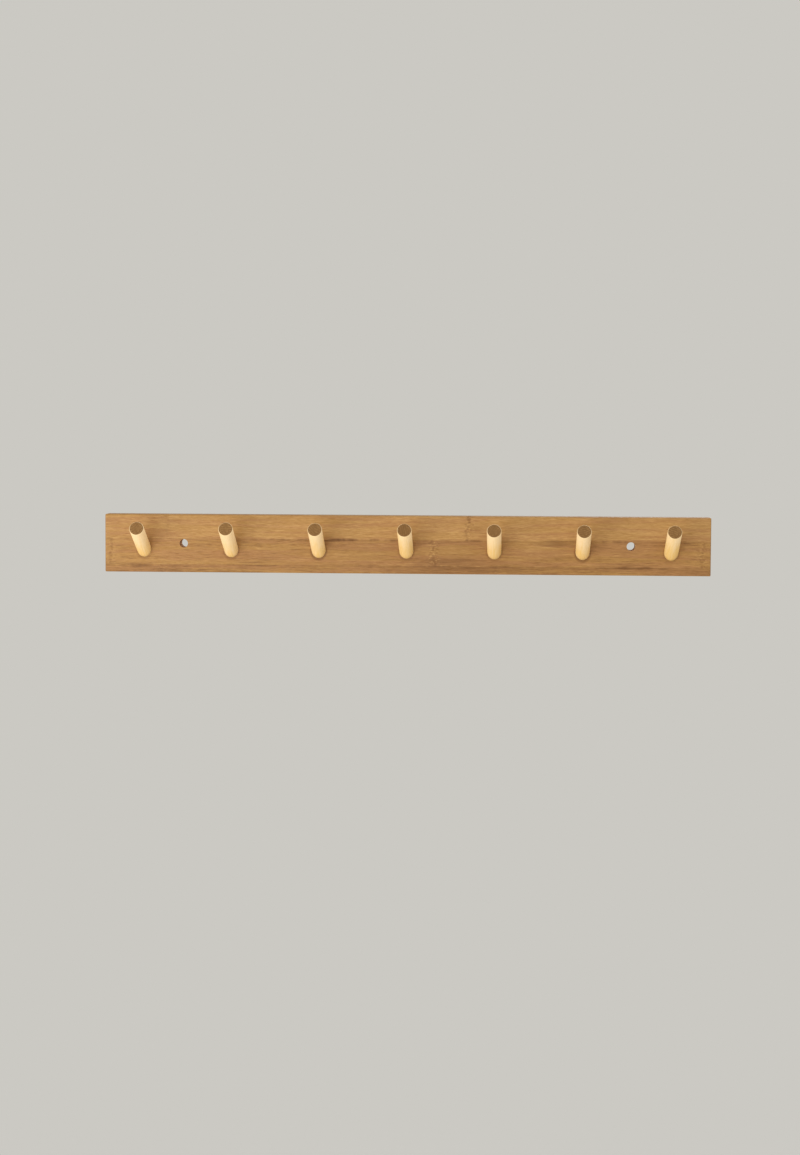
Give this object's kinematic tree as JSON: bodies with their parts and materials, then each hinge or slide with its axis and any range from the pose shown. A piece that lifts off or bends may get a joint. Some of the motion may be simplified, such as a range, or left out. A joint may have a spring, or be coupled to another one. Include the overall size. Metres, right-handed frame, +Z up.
{
  "type": "wall coat rack",
  "caption": "Wall coat rack: a flat laminated bamboo board with a row of round wooden pegs tilted upward, and round holes through it for wall screws.",
  "frame": {"origin": "middle of the board's back face, on the wall plane", "axes": "+Z up, +X along the board to the right as seen from the room, +Y into the wall"},
  "size_m": [0.6, 0.0708, 0.0576],
  "materials": {
    "bamboo_face": "carbonised bamboo, sanded and lightly oiled, satin",
    "bamboo_core": "carbonised bamboo core strips, seen only at the edges and in the holes",
    "bamboo_back": "carbonised bamboo, sanded, unoiled",
    "peg_wood": "light hardwood, turned and sanded, matte lacquer",
    "screw_zinc": "bright zinc plating"
  },
  "bodies": {
    "root": {"front_strip_1": "bamboo_face", "front_strip_2": "bamboo_face", "front_strip_3": "bamboo_face", "core_strip_1": "bamboo_core", "core_strip_2": "bamboo_core", "core_strip_3": "bamboo_core", "back_strip_1": "bamboo_back", "back_strip_2": "bamboo_back", "back_strip_3": "bamboo_back", "peg_1": "peg_wood", "peg_2": "peg_wood", "peg_3": "peg_wood", "peg_4": "peg_wood", "peg_5": "peg_wood", "peg_6": "peg_wood", "peg_7": "peg_wood", "peg_screw_1": "screw_zinc", "peg_screw_2": "screw_zinc", "peg_screw_3": "screw_zinc", "peg_screw_4": "screw_zinc", "peg_screw_5": "screw_zinc", "peg_screw_6": "screw_zinc", "peg_screw_7": "screw_zinc"}
  },
  "joints": []
}
